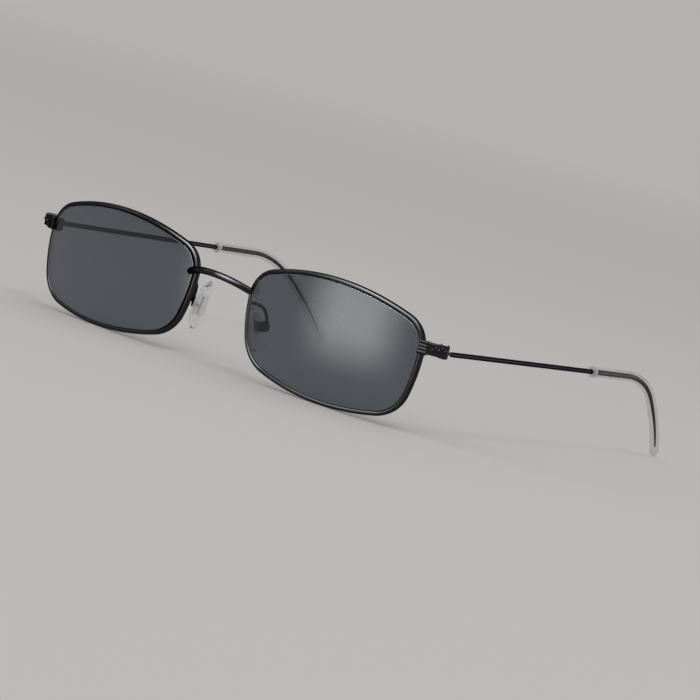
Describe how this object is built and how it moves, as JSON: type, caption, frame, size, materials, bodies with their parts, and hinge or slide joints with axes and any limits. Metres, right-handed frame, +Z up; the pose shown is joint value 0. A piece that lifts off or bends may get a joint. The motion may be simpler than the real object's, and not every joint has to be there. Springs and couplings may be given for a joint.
{
  "type": "sunglasses",
  "caption": "Wire-frame sunglasses with soft rectangular tinted lenses, folding wire temples with clear tips, and rocking clear nose pads.",
  "frame": {"origin": "middle of the footprint box, on the surface that the glasses stand on", "axes": "+Z up, +Y from the front towards the ear tips, +X to the wearer's left"},
  "size_m": [0.138, 0.1484, 0.0332],
  "materials": {
    "black_metal": "gloss",
    "steel": "satin",
    "tinted_lens": "gloss",
    "clear_tip": "gloss",
    "clear_pad": "gloss"
  },
  "bodies": {
    "front": {"bridge": "black_metal", "left_rim": "black_metal", "left_lens": "tinted_lens", "left_end_piece": "black_metal", "left_lock_upper": "black_metal", "left_lock_lower": "black_metal", "left_lock_screw": "steel", "left_hinge_screw": "steel", "left_pad_arm": "black_metal", "left_pad_box": "black_metal", "left_pad_pin": "steel", "right_rim": "black_metal", "right_lens": "tinted_lens", "right_end_piece": "black_metal", "right_lock_upper": "black_metal", "right_lock_lower": "black_metal", "right_lock_screw": "steel", "right_hinge_screw": "steel", "right_pad_arm": "black_metal", "right_pad_box": "black_metal", "right_pad_pin": "steel"},
    "left_temple_arm": {"left_temple": "black_metal", "left_tip": "clear_tip"},
    "left_nose_pad": {"left_pad": "clear_pad", "left_pad_stem": "steel"},
    "right_temple_arm": {"right_temple": "black_metal", "right_tip": "clear_tip"},
    "right_nose_pad": {"right_pad": "clear_pad", "right_pad_stem": "steel"}
  },
  "joints": [
    {"name": "left_temple_fold", "type": "hinge", "parent": "front", "child": "left_temple_arm", "pos_m": [0.067, -0.05964, 0.02226], "axis": [0, -0.0647, 0.9979], "range_deg": [0, 83]},
    {"name": "right_temple_fold", "type": "hinge", "parent": "front", "child": "right_temple_arm", "pos_m": [-0.067, -0.05964, 0.02226], "axis": [0, 0.0647, -0.9979], "range_deg": [0, 76]},
    {"name": "left_pad_rock", "type": "hinge", "parent": "front", "child": "left_nose_pad", "pos_m": [0.0119, -0.06061, 0.01403], "axis": [-0.1068, -0.9583, -0.2652], "range_deg": [-8, 8]},
    {"name": "right_pad_rock", "type": "hinge", "parent": "front", "child": "right_nose_pad", "pos_m": [-0.0119, -0.06061, 0.01403], "axis": [-0.1068, 0.9583, 0.2652], "range_deg": [-8, 8]}
  ]
}
